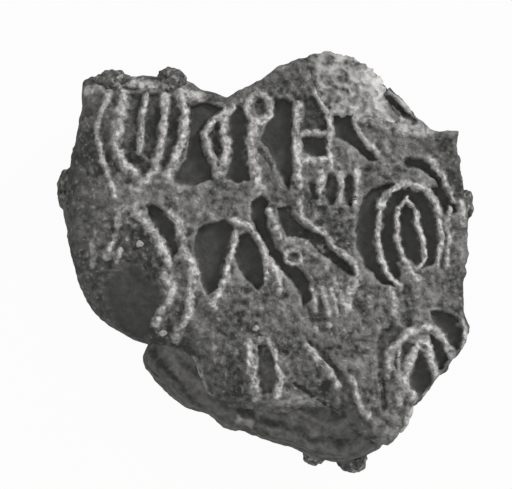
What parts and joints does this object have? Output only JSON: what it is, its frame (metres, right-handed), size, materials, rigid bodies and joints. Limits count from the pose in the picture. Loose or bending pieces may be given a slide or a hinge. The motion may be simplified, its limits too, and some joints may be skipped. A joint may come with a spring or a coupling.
{
  "type": "clay bulla",
  "caption": "Lump sealing of clay pads closed round a cord, with rolled geometric relief on its face, a cord tunnel and adhering lime crust, crumbs and grit.",
  "frame": {"origin": "under the middle of the whole find, on the plane that its flat back rests on", "axes": "+Z out of the ornamented face, +X to the right and +Y up along the face as pictured"},
  "size_m": [0.0478, 0.0482, 0.0156],
  "materials": {
    "face_clay": "matt fine clay, rubbed paler on the raised lines",
    "backing_clay": "matt smeared clay with faint layering",
    "lime": "coarse chalky crust",
    "grit": "pale mineral grain, slightly glossy"
  },
  "bodies": {
    "root": {"backing_pad": "backing_clay", "face_pad": "face_clay", "lime_crust": "lime", "top_edge_flake": "lime", "lower_edge_flake": "lime", "rim_pellet_left": "face_clay", "rim_pellet_right": "face_clay", "right_side_flake": "face_clay", "left_side_crumb": "backing_clay", "foot_crumb_small": "backing_clay", "foot_crumb_large": "backing_clay", "grit_grain_1": "grit", "grit_grain_2": "grit", "grit_grain_3": "grit", "grit_grain_4": "grit", "grit_grain_5": "grit"}
  },
  "joints": []
}
